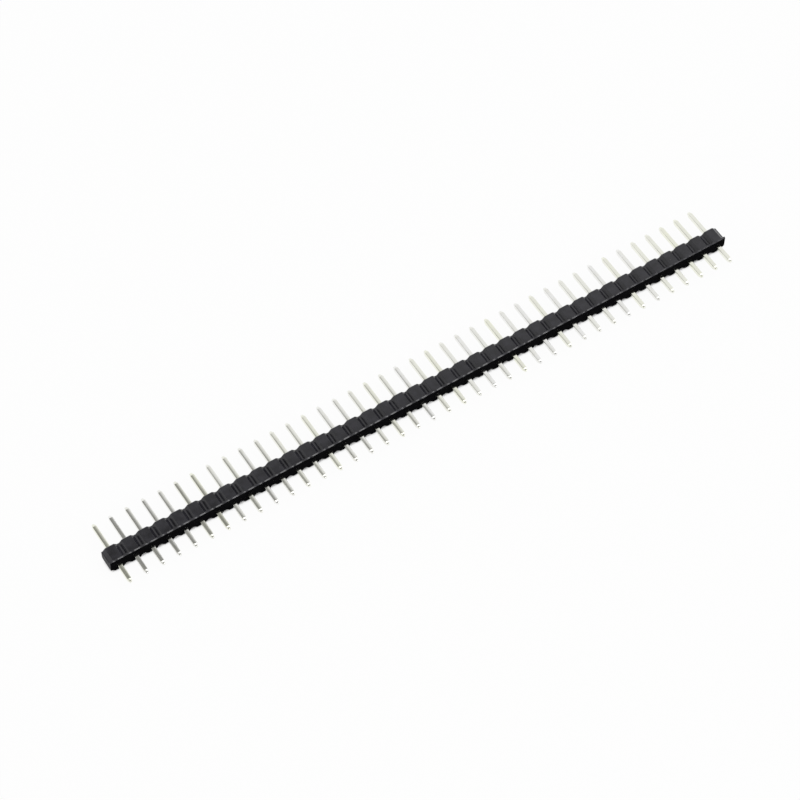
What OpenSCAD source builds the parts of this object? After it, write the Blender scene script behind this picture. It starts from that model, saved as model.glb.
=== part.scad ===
// Break-away pin header strip: one row of square pins in a moulded housing,
// lying on a long side with the mating pins towards +Y and the solder tails towards -Y.

/* [Row] */
// Number of positions in the strip
positions = 40; // [2:1:50]
// Distance from one pin to the next
pitch = 2.54; // [2.2:0.01:3]

/* [Housing] */
// Height of the housing along the pins
body_h = 2.54; // [1.8:0.02:3.5]
// Thickness of the housing across the row
body_t = 2.5; // [2:0.05:3.2]
// Chamfer on the four long edges of each cell
edge_chamfer = 0.15; // [0.05:0.01:0.2]

/* [Break lines] */
// Depth of the break notch in each long side
notch_depth = 0.46; // [0.2:0.01:0.65]
// Width of each slope of the break notch
notch_slope = 0.45; // [0.2:0.01:0.55]
// Width of the flat bottom of the break notch
notch_floor = 0.24; // [0.06:0.01:0.5]
// Width of the level top of the bridge that closes the upper notches at the tail edge
bridge_flat = 0.05; // [0.02:0.01:0.3]
// Run of the slope from the top of that bridge down to the notch floor
bridge_slope = 0.35; // [0.1:0.01:0.8]

/* [Pins] */
// Width across the flats of the square pin
pin_w = 0.64; // [0.5:0.01:0.8]
// Length of the pin beyond the housing on the mating side
mating_len = 4.7; // [3:0.1:10]
// Length of the pin beyond the housing on the tail side
tail_len = 3.3; // [2:0.1:6]
// Length of the coined taper at the mating tip
mating_taper = 0.5; // [0.2:0.05:1]
// Length of the coined taper at the tail tip
tail_taper = 0.55; // [0.2:0.05:1]
// Width of the blunt end at both tips
tip_w = 0.32; // [0.2:0.01:0.45]
// Play between the pin and its hole on each side, none for a pressed pin
hole_clearance = 0; // [0:0.005:0.03]

/* [Hidden] */
strip_l = positions * pitch;
pin_l = tail_len + body_h + mating_len;
tail_y = -pin_l / 2;
mating_y = pin_l / 2;
seat_y = tail_y + tail_len;
face_y = seat_y + body_h;
axis_z = body_t / 2;
cell_half = (pitch - notch_floor) / 2;
web_half = body_t / 2 - notch_depth;
slope_angle = atan2(notch_depth, notch_slope);
slope_reach = (cell_half - notch_slope) * sin(slope_angle) + body_t / 2 * cos(slope_angle);
cut = 1;

function break_x(k) = k * pitch - strip_l / 2;
function pin_x(i) = break_x(i - 0.5);
function pin_name(i) = str("pin_", i < 10 ? "0" : "", i);

// Section of a bar with its four long edges broken, as wide as the housing is high
module bar_outline(half) {
    c = edge_chamfer;
    polygon([
        [seat_y + c, -half], [face_y - c, -half], [face_y, c - half], [face_y, half - c],
        [face_y - c, half], [seat_y + c, half], [seat_y, half - c], [seat_y, c - half]
    ]);
}

// Bar along the row, centred on the pin axis
module bar(half, length) {
    rotate([90, 0, 90])
        linear_extrude(length, center = true)
            bar_outline(half);
}

// One eight-sided cell: an upright bar trimmed by two leaning ones, so that
// the broken edge runs on along the flats and the slopes
module cell() {
    reach = 2 * (pitch + body_t);
    intersection() {
        bar(body_t / 2, 2 * cell_half);
        rotate([0, slope_angle, 0]) bar(slope_reach, reach);
        rotate([0, -slope_angle, 0]) bar(slope_reach, reach);
    }
}

// Thin bar that joins the cells at the break lines
module web() {
    bar(web_half, strip_l);
}

// Thin rib along the tail edge of the upper side, level with the flats of the cells
module bridge() {
    c = edge_chamfer;
    crest_y = seat_y + c + bridge_flat;
    foot_y = crest_y + bridge_slope;
    rotate([90, 0, 90])
        linear_extrude(strip_l, center = true)
            polygon([
                [seat_y, 0], [foot_y, 0], [foot_y, web_half],
                [crest_y, body_t / 2], [seat_y + c, body_t / 2], [seat_y, body_t / 2 - c]
            ]);
}

module housing_blank() {
    translate([0, 0, axis_z]) {
        web();
        bridge();
    }
    for (i = [1:positions])
        translate([pin_x(i), 0, axis_z]) cell();
}

module pin_hole(i) {
    hole_w = pin_w + 2 * hole_clearance;
    translate([pin_x(i) - hole_w / 2, seat_y - cut, axis_z - hole_w / 2])
        cube([hole_w, body_h + 2 * cut, hole_w]);
}

module housing() {
    color([0.15, 0.15, 0.16])
        difference() {
            union() housing_blank();
            for (i = [1:positions]) pin_hole(i);
        }
}

// Side view of a pin along Y, tapered at both ends
module pin_outline() {
    a = pin_w / 2;
    b = tip_w / 2;
    polygon([
        [-b, tail_y], [b, tail_y], [a, tail_y + tail_taper], [a, mating_y - mating_taper],
        [b, mating_y], [-b, mating_y], [-a, mating_y - mating_taper], [-a, tail_y + tail_taper]
    ]);
}

// Square wire coined on all four sides at each tip
module pin(i) {
    color([0.82, 0.82, 0.79])
        translate([pin_x(i), 0, axis_z])
            intersection() {
                translate([0, 0, -pin_w])
                    linear_extrude(2 * pin_w)
                        pin_outline();
                rotate([0, 90, 0])
                    translate([0, 0, -pin_w])
                        linear_extrude(2 * pin_w)
                            pin_outline();
            }
}

housing();
for (i = [1:positions]) {
    pin(i);
}
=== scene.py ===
import math

import bmesh
import bpy
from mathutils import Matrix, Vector


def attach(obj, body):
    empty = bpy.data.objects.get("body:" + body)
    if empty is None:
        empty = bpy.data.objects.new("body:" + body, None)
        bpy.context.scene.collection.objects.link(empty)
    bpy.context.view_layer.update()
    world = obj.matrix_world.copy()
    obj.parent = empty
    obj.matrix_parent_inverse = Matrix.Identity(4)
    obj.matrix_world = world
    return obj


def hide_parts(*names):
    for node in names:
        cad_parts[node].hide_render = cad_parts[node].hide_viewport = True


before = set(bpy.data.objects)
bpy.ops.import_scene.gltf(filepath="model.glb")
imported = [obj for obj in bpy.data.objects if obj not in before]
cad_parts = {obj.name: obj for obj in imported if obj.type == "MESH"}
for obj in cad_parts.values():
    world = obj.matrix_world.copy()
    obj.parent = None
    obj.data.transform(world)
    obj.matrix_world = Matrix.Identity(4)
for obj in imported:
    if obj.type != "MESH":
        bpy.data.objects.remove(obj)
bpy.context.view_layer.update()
mm = 0.001  # the frame is in metres, the settings below are in millimetres and degrees
pitch = 2.54  # from one pin to the next
scene = bpy.context.scene
scene.view_settings.view_transform = "Standard"
print("frame loaded,", len(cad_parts), "nodes")


# Camera

view = {
    "azimuth": -32.52,
    "elevation": 56.02,
    "aim": (-3.153, 0.819, 0.039),
    "distance": 384.32,
    "lens": 123.75,
    "sensor": 36.0,
    "nearest": 10.0,
    "farthest": 10000.0,
}


def towards(azimuth, elevation):
    # unit vector from the strip to something seen at these angles, azimuth 0 is on the tail side
    turn, rise = math.radians(azimuth), math.radians(elevation)
    level = math.cos(rise)
    return Vector((math.sin(turn) * level, -math.cos(turn) * level, math.sin(rise)))


def makeCamera():
    data = bpy.data.cameras.new("photoCamera")
    data.lens = view["lens"]
    data.sensor_width = view["sensor"]
    data.clip_start = view["nearest"] * mm
    data.clip_end = view["farthest"] * mm
    camera = bpy.data.objects.new("photoCamera", data)
    scene.collection.objects.link(camera)
    back = towards(view["azimuth"], view["elevation"])
    camera.location = (Vector(view["aim"]) + back * view["distance"]) * mm
    camera.rotation_euler = (-back).to_track_quat("-Z", "Y").to_euler()
    scene.camera = camera


makeCamera()
print("camera placed")


# Node helpers

def addNode(tree, kind, options=None, **inputs):
    node = tree.nodes.new(kind)
    for key, value in (options or {}).items():
        setattr(node, key, value)
    for key, value in inputs.items():
        node.inputs[key].default_value = value
    return node


def link(tree, source, target):
    # the source is another socket, or a value to set
    if isinstance(source, bpy.types.NodeSocket):
        tree.links.new(source, target)
    else:
        target.default_value = source


def mathNode(tree, operation, *values):
    node = addNode(tree, "ShaderNodeMath", {"operation": operation})
    for value, socket in zip(values, node.inputs):
        link(tree, value, socket)
    return node.outputs["Value"]


def vectorNode(tree, operation, *values):
    node = addNode(tree, "ShaderNodeVectorMath", {"operation": operation})
    for value, socket in zip(values, node.inputs):
        link(tree, value, socket)
    return node


def scaled(tree, vector, factor):
    node = vectorNode(tree, "SCALE", vector)
    node.inputs["Scale"].default_value = factor
    return node.outputs["Vector"]


def split(tree, vector):
    node = addNode(tree, "ShaderNodeSeparateXYZ")
    link(tree, vector, node.inputs["Vector"])
    return node.outputs


def mapRange(tree, value, low, high, toLow, toHigh):
    node = addNode(tree, "ShaderNodeMapRange", {"clamp": True})
    link(tree, value, node.inputs["Value"])
    names = ("From Min", "From Max", "To Min", "To Max")
    for name, number in zip(names, (low, high, toLow, toHigh)):
        node.inputs[name].default_value = number
    return node.outputs["Result"]


def mixColour(tree, factor, first, second):
    # a colour is a socket, or its red, green and blue
    node = addNode(tree, "ShaderNodeMix", {"data_type": "RGBA"})
    link(tree, factor, node.inputs["Factor"])
    sockets = (socket for socket in node.inputs if socket.type == "RGBA")
    for value, socket in zip((first, second), sockets):
        link(tree, (*value, 1) if isinstance(value, tuple) else value, socket)
    return next(socket for socket in node.outputs if socket.type == "RGBA")


def newGroup(name, numbers, outputs):
    # each group reads a place and some numbers, and gives values back
    group = bpy.data.node_groups.new(name, "ShaderNodeTree")
    group.interface.new_socket("Place", in_out="INPUT", socket_type="NodeSocketVector")
    for label in numbers:
        group.interface.new_socket(label, in_out="INPUT", socket_type="NodeSocketFloat")
    for label in outputs:
        group.interface.new_socket(label, in_out="OUTPUT", socket_type="NodeSocketFloat")
    return group, group.nodes.new("NodeGroupInput"), group.nodes.new("NodeGroupOutput")


def useGroup(tree, group, place, **inputs):
    node = addNode(tree, "ShaderNodeGroup", {"node_tree": group}, **inputs)
    link(tree, place, node.inputs["Place"])
    return node


# Shared effects, all on object coordinates in millimetres

effects = {
    "fineNoise": {"Detail": 4.0, "Roughness": 0.6},
    "broadNoise": {"Detail": 2.0, "Roughness": 0.5},
    "fineShare": 0.4,
    "edgeMaskSamples": 4,
    "edgeMaskTurn": (0.995, 0.9),
    "edgeMaskNoise": {"Detail": 3.0},
    "edgeMaskPatches": (0.35, 0.65),
    "edgeMaskLeast": 0.2,
    "dustNoise": {"Scale": 0.7, "Detail": 1.0},
    "dustChance": 0.52,
}


def makeGrain():
    group, start, end = newGroup("surfaceGrain", ("Fine", "Broad"), ("Height", "Mottle"))
    fine = addNode(group, "ShaderNodeTexNoise", **effects["fineNoise"])
    broad = addNode(group, "ShaderNodeTexNoise", **effects["broadNoise"])
    for node, scale in ((fine, "Fine"), (broad, "Broad")):
        link(group, start.outputs["Place"], node.inputs["Vector"])
        link(group, start.outputs[scale], node.inputs["Scale"])
    height = mathNode(group, "MULTIPLY_ADD",
                      fine.outputs["Fac"], effects["fineShare"], broad.outputs["Fac"])
    link(group, height, end.inputs["Height"])
    link(group, broad.outputs["Fac"], end.inputs["Mottle"])
    return group


def makeEdgeWearAndHighlight():
    # an edge is where the rounded normal turns away from the true one, worn in patches; the mask
    # lightens edges partly as wear and partly as a painted highlight
    group, start, end = newGroup("edgeWearAndHighlight", ("Reach", "Breakup"), ("Mask",))
    rounded = addNode(group, "ShaderNodeBevel", {"samples": effects["edgeMaskSamples"]})
    link(group, start.outputs["Reach"], rounded.inputs["Radius"])
    surface = addNode(group, "ShaderNodeNewGeometry")
    turn = vectorNode(group, "DOT_PRODUCT", rounded.outputs["Normal"], surface.outputs["Normal"])
    edge = mapRange(group, turn.outputs["Value"], *effects["edgeMaskTurn"], 0.0, 1.0)
    patches = addNode(group, "ShaderNodeTexNoise", **effects["edgeMaskNoise"])
    link(group, start.outputs["Place"], patches.inputs["Vector"])
    link(group, start.outputs["Breakup"], patches.inputs["Scale"])
    worn = mapRange(group, patches.outputs["Fac"],
                    *effects["edgeMaskPatches"], effects["edgeMaskLeast"], 1.0)
    link(group, mathNode(group, "MULTIPLY", edge, worn), end.inputs["Mask"])
    return group


def makeDust():
    group, start, end = newGroup("dustSpecks", ("Count", "Size"), ("Mask",))
    cells = addNode(group, "ShaderNodeTexVoronoi", {"feature": "F1"})
    chance = addNode(group, "ShaderNodeTexNoise", **effects["dustNoise"])
    link(group, start.outputs["Place"], cells.inputs["Vector"])
    link(group, start.outputs["Count"], cells.inputs["Scale"])
    link(group, start.outputs["Place"], chance.inputs["Vector"])
    inside = mathNode(group, "LESS_THAN", cells.outputs["Distance"], start.outputs["Size"])
    some = mathNode(group, "GREATER_THAN", chance.outputs["Fac"], effects["dustChance"])
    link(group, mathNode(group, "MULTIPLY", inside, some), end.inputs["Mask"])
    return group


grain = makeGrain()
edgeWearAndHighlight = makeEdgeWearAndHighlight()
dustSpecks = makeDust()


def startMaterial(name):
    # new material with its shader and its object coordinates turned into millimetres
    material = bpy.data.materials.new(name)
    material.use_nodes = True
    tree = material.node_tree
    where = addNode(tree, "ShaderNodeTexCoord")
    place = scaled(tree, where.outputs["Object"], 1 / mm)
    return material, tree, tree.nodes["Principled BSDF"], place


def bumpTo(tree, shader, height, depth, strength, normal):
    bump = addNode(tree, "ShaderNodeBump", Strength=strength, Distance=depth * mm)
    link(tree, height, bump.inputs["Height"])
    link(tree, normal, bump.inputs["Normal"])
    link(tree, bump.outputs["Normal"], shader.inputs["Normal"])


def leaning(tree, push):
    # surface normal pushed over by a small vector
    surface = addNode(tree, "ShaderNodeNewGeometry")
    pushed = vectorNode(tree, "ADD", surface.outputs["Normal"], push)
    return vectorNode(tree, "NORMALIZE", pushed.outputs["Vector"]).outputs["Vector"]


def withinPitch(tree, place):
    # 0 at one break line, a half at the pin and 1 at the next break line
    return mathNode(tree, "FRACT", mathNode(tree, "DIVIDE", split(tree, place)["X"], pitch))


# Mesh helpers

meshing = {
    "weld": 0.0005,
    "flat": 0.5,
    "sliver": 0.001,
    "lengthwise": 0.7,
    "crease": 50.0,
}


def mergedCopy(node):
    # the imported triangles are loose: corners are welded and flat faces made whole, in millimetres
    bm = bmesh.new()
    bm.from_mesh(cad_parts[node].data)
    bmesh.ops.scale(bm, vec=Vector((1, 1, 1)) / mm, verts=bm.verts)
    bmesh.ops.remove_doubles(bm, verts=bm.verts, dist=meshing["weld"])
    bmesh.ops.dissolve_limit(bm, angle_limit=math.radians(meshing["flat"]),
                             verts=bm.verts, edges=bm.edges)
    return bm


def runsAlongPin(edge):
    rise = abs(edge.verts[1].co.y - edge.verts[0].co.y)
    return rise > meshing["lengthwise"] * edge.calc_length()


def roundEdges(bm, sharp, size, segments, lengthwise=False):
    limit = math.radians(sharp)
    edges = [e for e in bm.edges if e.is_manifold and e.calc_face_angle() > limit]
    if lengthwise:
        edges = [e for e in edges if runsAlongPin(e)]
    bmesh.ops.bevel(bm, geom=edges, offset=size, offset_type="OFFSET", segments=segments,
                    profile=0.5, affect="EDGES", clamp_overlap=True, material=-1)
    # slivers where roundings meet
    bmesh.ops.dissolve_degenerate(bm, dist=meshing["sliver"], edges=bm.edges)


def finishPiece(bm, name, shape, materials):
    bmesh.ops.scale(bm, vec=Vector((mm, mm, mm)), verts=bm.verts)
    mesh = bpy.data.meshes.new(name)
    bm.to_mesh(mesh)
    bm.free()
    for material in materials:
        mesh.materials.append(material)
    mesh.shade_smooth()
    mesh.set_sharp_from_angle(angle=math.radians(meshing["crease"]))
    piece = bpy.data.objects.new(name, mesh)
    scene.collection.objects.link(piece)
    flatten = piece.modifiers.new("flatShading", "WEIGHTED_NORMAL")
    flatten.keep_sharp = True
    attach(piece, "root")
    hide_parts(shape["node"])
    return piece


# Housing, black moulded plastic

housingShape = {
    "node": "housing",
    "slot": "housing",
    "tailFace": -1.97,
    "matingFace": 0.57,
    "round": 0.02,
    "segments": 2,
    "sharp": 12.0,
    "faceTurn": 0.8,
    "endTurn": 0.9,
    "endDepth": 0.05,
}

plastic = {
    "mottle": (0.35, 0.65),
    "sheen": (0.3, 0.7),
    "wearAndHighlightReach": 0.05,
    "wearAndHighlightBreakup": 2.5,
    "dustCount": 1.1,
    "dustSize": 0.055,
    "dustRoughness": 0.3,
}

# each plastic look has a lighter edge colour, partly wear and partly a painted highlight
mouldedSides = {
    "dark": (0.0128, 0.0124, 0.0164),
    "light": (0.0242, 0.0236, 0.0305),
    "wornEdgeAndHighlight": (0.032, 0.032, 0.035),
    "dust": (0.11, 0.11, 0.105),
    "smooth": 0.17,
    "rough": 0.25,
    "specular": 0.5,
    "crown": 0.03,
    "ribFade": 0.42,
    "ribScuff": 0.45,
    "grainDepth": 0.004,
    "grainStrength": 0.35,
    "fine": 9.0,
    "broad": 0.9,
}

# a much darker, matte copy of the same plastic for the tail and mating faces: painted shade, so the
# near face reads nearly black as if in shadow
paintedShadeFaces = {
    "dark": (0.0019, 0.0018, 0.0023),
    "light": (0.0042, 0.0041, 0.0048),
    "wornEdgeAndHighlight": (0.012, 0.012, 0.013),
    "dust": (0.04, 0.04, 0.038),
    "smooth": 0.62,
    "rough": 0.78,
    "specular": 0.005,
    "crown": 0.0,
    "ribFade": 0.0,
    "ribScuff": 0.0,
    "grainDepth": 0.008,
    "grainStrength": 0.5,
    "fine": 7.0,
    "broad": 1.3,
}

# the two end faces, where the strip was snapped, are coloured a lighter grey than the sides and are
# rougher
snappedWeb = {
    "dark": (0.020, 0.020, 0.022),
    "light": (0.075, 0.075, 0.078),
    "wornEdgeAndHighlight": (0.10, 0.10, 0.10),
    "dust": (0.12, 0.12, 0.115),
    "smooth": 0.60,
    "rough": 0.85,
    "specular": 0.3,
    "crown": 0.0,
    "ribFade": 0.0,
    "ribScuff": 0.0,
    "grainDepth": 0.03,
    "grainStrength": 0.9,
    "fine": 12.0,
    "broad": 4.0,
}

# places along the rib as shares of the pitch, its width in millimetres from the tail face
rib = {
    "crossing": (0.26, 0.44),
    "besidePin": 0.39,
    "besideFade": (0.04, 0.12),
    "width": (0.16, 0.24),
}


def crowned(tree, place, amount):
    # moulded flats are a little fuller in the middle than at their two long edges
    faces = housingShape["tailFace"], housingShape["matingFace"]
    push = addNode(tree, "ShaderNodeCombineXYZ")
    lean = mapRange(tree, split(tree, place)["Y"], *faces, -amount, amount)
    link(tree, lean, push.inputs["Y"])
    return leaning(tree, push.outputs["Vector"])


def ribDulling(tree, place, fade, scuff):
    # the tail edge is duller where its rib crosses the break notches, and beside each pin
    along = withinPitch(tree, place)
    fromPin = mathNode(tree, "ABSOLUTE", mathNode(tree, "SUBTRACT", along, 0.5))
    crossing = mapRange(tree, fromPin, *rib["crossing"], 0.0, fade)
    fromSpot = mathNode(tree, "ABSOLUTE", mathNode(tree, "SUBTRACT", along, rib["besidePin"]))
    beside = mapRange(tree, fromSpot, *rib["besideFade"], scuff, 0.0)
    edge = (housingShape["tailFace"] + width for width in rib["width"])
    onRib = mapRange(tree, split(tree, place)["Y"], *edge, 1.0, 0.0)
    return mathNode(tree, "MULTIPLY", mathNode(tree, "ADD", crossing, beside), onRib)


def blackPlastic(name, look):
    material, tree, shader, place = startMaterial(name)
    skin = useGroup(tree, grain, place, Fine=look["fine"], Broad=look["broad"])
    edge = useGroup(tree, edgeWearAndHighlight, place,
                    Reach=plastic["wearAndHighlightReach"] * mm, Breakup=plastic["wearAndHighlightBreakup"])
    dust = useGroup(tree, dustSpecks, place,
                    Count=plastic["dustCount"], Size=plastic["dustSize"])
    mottled = mapRange(tree, skin.outputs["Mottle"], *plastic["mottle"], 0.0, 1.0)
    colour = mixColour(tree, mottled, look["dark"], look["light"])
    # edges take the lighter edge colour: partly wear, partly a painted highlight
    colour = mixColour(tree, edge.outputs["Mask"], colour, look["wornEdgeAndHighlight"])
    colour = mixColour(tree, dust.outputs["Mask"], colour, look["dust"])
    link(tree, colour, shader.inputs["Base Color"])
    sheen = mapRange(tree, skin.outputs["Mottle"],
                     *plastic["sheen"], look["smooth"], look["rough"])
    dull = ribDulling(tree, place, look["ribFade"], look["ribScuff"])
    dusted = mathNode(tree, "MULTIPLY_ADD", dust.outputs["Mask"],
                      plastic["dustRoughness"], mathNode(tree, "ADD", sheen, dull))
    link(tree, dusted, shader.inputs["Roughness"])
    shader.inputs["Specular IOR Level"].default_value = look["specular"]
    bumpTo(tree, shader, skin.outputs["Height"], look["grainDepth"], look["grainStrength"],
           crowned(tree, place, look["crown"]))
    return material


def makeHousing():
    bm = mergedCopy(housingShape["node"])
    roundEdges(bm, housingShape["sharp"], housingShape["round"], housingShape["segments"])
    sides, faces, ends = range(3)  # the order of the materials
    reach = max(v.co.x for v in bm.verts) - housingShape["endDepth"]
    for face in bm.faces:
        endwise = abs(face.normal.x) > housingShape["endTurn"]
        atEnd = endwise and abs(face.calc_center_median().x) > reach
        # the tail and mating faces take the darker copy of the plastic, which is painted shade
        facing = abs(face.normal.y) > housingShape["faceTurn"]
        face.material_index = ends if atEnd else faces if facing else sides
    materials = [
        blackPlastic("mouldedSides", mouldedSides),
        blackPlastic("paintedShadeFaces", paintedShadeFaces),
        blackPlastic("snappedWeb", snappedWeb),
    ]
    return finishPiece(bm, "moulding", housingShape, materials)


housing = makeHousing()
print("housing made,", len(housing.data.polygons), "faces")


# Pins, square brass wire with a bright tin plate

pinShape = {
    "slot": "pins",
    "cornerRound": 0.085,
    "tipRound": 0.03,
    "segments": 3,
    "tipSegments": 1,
    "sharp": 60.0,
}

tinPlate = {
    "cool": (0.895, 0.895, 0.895),
    "warm": (0.885, 0.895, 0.765),
    "tintDraw": 57,
    "dull": (0.83, 0.825, 0.765),
    "stain": {"Fine": 5.0, "Broad": 0.8},
    "stained": (0.35, 0.7),
    "mostStain": 0.6,
    "wornEdgeAndHighlight": (0.93, 0.92, 0.88),
    "wearAndHighlightReach": 0.04,
    "wearAndHighlightBreakup": 2.0,
    "sheen": (0.3, 0.7),
    "smooth": 0.07,
    "rough": 0.15,
    "drawn": {"Fine": 22.0, "Broad": 7.0},
    "drawnStretch": (1.0, 0.06, 1.0),
    "drawnDepth": 0.0025,
    "drawnStrength": 0.3,
    "twist": 0.022,
    "twistDraw": 0,
    "crown": 0.06,
}


def pinChance(tree, place, draw):
    # one random value and colour for each pin
    number = mathNode(tree, "FLOOR", mathNode(tree, "DIVIDE", split(tree, place)["X"], pitch))
    chance = addNode(tree, "ShaderNodeTexWhiteNoise", {"noise_dimensions": "1D"})
    link(tree, mathNode(tree, "ADD", number, draw), chance.inputs["W"])
    return chance


def pinNormal(tree, place):
    # each pin sits a touch differently in its hole, so its flats mirror slightly different places
    chance = pinChance(tree, place, tinPlate["twistDraw"])
    centred = vectorNode(tree, "SUBTRACT", chance.outputs["Color"], (0.5, 0.5, 0.5))
    twist = scaled(tree, centred.outputs["Vector"], tinPlate["twist"])
    # the flats are a little fuller along their middle
    across = mathNode(tree, "SUBTRACT", withinPitch(tree, place), 0.5)
    crown = addNode(tree, "ShaderNodeCombineXYZ")
    link(tree, mathNode(tree, "MULTIPLY", across, pitch * tinPlate["crown"]), crown.inputs["X"])
    push = vectorNode(tree, "ADD", twist, crown.outputs["Vector"])
    return leaning(tree, push.outputs["Vector"])


def platedTin():
    material, tree, shader, place = startMaterial("tinPlate")
    # die lines run along the wire
    drawn = addNode(tree, "ShaderNodeMapping", Scale=tinPlate["drawnStretch"])
    link(tree, place, drawn.inputs["Vector"])
    lines = useGroup(tree, grain, drawn.outputs["Vector"], **tinPlate["drawn"])
    stain = useGroup(tree, grain, place, **tinPlate["stain"])
    edge = useGroup(tree, edgeWearAndHighlight, place,
                    Reach=tinPlate["wearAndHighlightReach"] * mm, Breakup=tinPlate["wearAndHighlightBreakup"])
    dulled = mapRange(tree, stain.outputs["Mottle"],
                      *tinPlate["stained"], 0.0, tinPlate["mostStain"])
    tint = pinChance(tree, place, tinPlate["tintDraw"])
    plate = mixColour(tree, tint.outputs["Value"], tinPlate["cool"], tinPlate["warm"])
    colour = mixColour(tree, dulled, plate, tinPlate["dull"])
    # edges take a brighter tin colour: partly wear, partly a painted highlight
    colour = mixColour(tree, edge.outputs["Mask"], colour, tinPlate["wornEdgeAndHighlight"])
    link(tree, colour, shader.inputs["Base Color"])
    sheen = mapRange(tree, lines.outputs["Mottle"],
                     *tinPlate["sheen"], tinPlate["smooth"], tinPlate["rough"])
    link(tree, sheen, shader.inputs["Roughness"])
    shader.inputs["Metallic"].default_value = 1.0
    bumpTo(tree, shader, lines.outputs["Height"],
           tinPlate["drawnDepth"], tinPlate["drawnStrength"], pinNormal(tree, place))
    return material


def makePins():
    tin = platedTin()
    made = []
    for node in sorted(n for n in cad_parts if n.startswith("pin_")):
        bm = mergedCopy(node)
        roundEdges(bm, pinShape["sharp"], pinShape["cornerRound"], pinShape["segments"],
                   lengthwise=True)
        roundEdges(bm, pinShape["sharp"], pinShape["tipRound"], pinShape["tipSegments"])
        name = node.replace("pin_", "platedPin")
        made.append(finishPiece(bm, name, {**pinShape, "node": node}, [tin]))
    return made


pins = makePins()
print("pins made,", len(pins))


# Floor, world and lamps

studio = {
    "floorSize": 3000.0,
    "floorColour": (0.88, 0.88, 0.88),
    "floorRoughness": 0.9,
    "floorWhite": 0.95,
    "contact": 0.7,
    "contactSamples": 8,
    "contactFade": (0.3, 0.64),
    "lean": 0.35,
    "sweep": (
        (0.0, 1.0), (0.60, 0.91), (0.712, 0.88), (0.743, 0.80),
        (0.774, 0.30), (0.80, 0.24), (0.87, 0.27), (0.93, 0.62),
    ),
    "dimTint": (1.0, 1.0, 0.93),
    "cameraSide": 0.75,
    "cameraFade": (-0.8, -0.2),
    "topBox": {
        "azimuth": 90.0,
        "elevation": 70.0,
        "distance": 2400.0,
        "size": (1260.0, 1240.0),
        "glow": 1.2,
    },
    "frontBox": {
        "azimuth": 14.0,
        "elevation": 28.0,
        "distance": 700.0,
        "size": (320.0, 230.0),
        "glow": 4.2,
    },
}


def paperFloor():
    material = bpy.data.materials.new("paperFloor")
    material.use_nodes = True
    tree = material.node_tree
    shader = tree.nodes["Principled BSDF"]
    shader.inputs["Base Color"].default_value = (*studio["floorColour"], 1)
    shader.inputs["Roughness"].default_value = studio["floorRoughness"]
    shader.inputs["Specular IOR Level"].default_value = 0.0
    path = addNode(tree, "ShaderNodeLightPath")
    seen = mathNode(tree, "MAXIMUM",
                    path.outputs["Is Camera Ray"], path.outputs["Is Glossy Ray"])
    seen = mathNode(tree, "MAXIMUM", seen, path.outputs["Is Transmission Ray"])
    # the paper goes dark only in the narrow wedge under the strip
    wedge = addNode(tree, "ShaderNodeAmbientOcclusion", {"samples": studio["contactSamples"]},
                    Distance=studio["contact"] * mm)
    lit = mapRange(tree, wedge.outputs["AO"],
                   *studio["contactFade"], 0.0, studio["floorWhite"])
    white = addNode(tree, "ShaderNodeEmission", Color=(1, 1, 1, 1), Strength=1.0)
    mix = addNode(tree, "ShaderNodeMixShader")
    sources = (mathNode(tree, "MULTIPLY", seen, lit), shader.outputs[0], white.outputs[0])
    for source, socket in zip(sources, mix.inputs):
        link(tree, source, socket)
    link(tree, mix.outputs[0], tree.nodes["Material Output"].inputs["Surface"])
    return material


def makeFloor():
    bm = bmesh.new()
    bmesh.ops.create_grid(bm, x_segments=1, y_segments=1, size=studio["floorSize"] * mm / 2)
    mesh = bpy.data.meshes.new("floor")
    bm.to_mesh(mesh)
    bm.free()
    mesh.materials.append(paperFloor())
    floor = bpy.data.objects.new("floor", mesh)
    scene.collection.objects.link(floor)


def makeWorld():
    world = bpy.data.worlds.new("studio")
    scene.world = world
    world.use_nodes = True
    tree = world.node_tree
    where = addNode(tree, "ShaderNodeTexCoord")
    apart = split(tree, where.outputs["Generated"])
    ramp = addNode(tree, "ShaderNodeValToRGB")
    stops = ramp.color_ramp.elements
    while len(stops) < len(studio["sweep"]):
        stops.new(0.5)  # each is moved to its place below
    brightest = studio["sweep"][0][1]
    for stop, (height, level) in zip(stops, studio["sweep"]):
        stop.position = height
        shade = level / brightest
        tinted = (level * (shade + (1 - shade) * tint) for tint in studio["dimTint"])
        stop.color = (*tinted, 1)
    # the sky darkens towards the top and away from the lit side
    height = mathNode(tree, "MULTIPLY_ADD", apart["X"], -studio["lean"], apart["Z"])
    link(tree, height, ramp.inputs["Fac"])
    front = mapRange(tree, apart["Y"], *studio["cameraFade"], studio["cameraSide"], 1.0)
    background = tree.nodes["Background"]
    link(tree, ramp.outputs["Color"], background.inputs["Color"])
    link(tree, front, background.inputs["Strength"])


def makeLamp(name, box):
    data = bpy.data.lights.new(name, "AREA")
    data.shape = "RECTANGLE"
    data.size = box["size"][0] * mm
    data.size_y = box["size"][1] * mm
    data.energy = box["glow"] * math.pi * data.size * data.size_y  # a panel of even brightness
    lamp = bpy.data.objects.new(name, data)
    scene.collection.objects.link(lamp)
    back = towards(box["azimuth"], box["elevation"])
    lamp.location = back * box["distance"] * mm
    lamp.rotation_euler = (-back).to_track_quat("-Z", "Y").to_euler()


makeFloor()
makeWorld()
makeLamp("topBox", studio["topBox"])
makeLamp("frontBox", studio["frontBox"])
print("floor, world and lamps set")
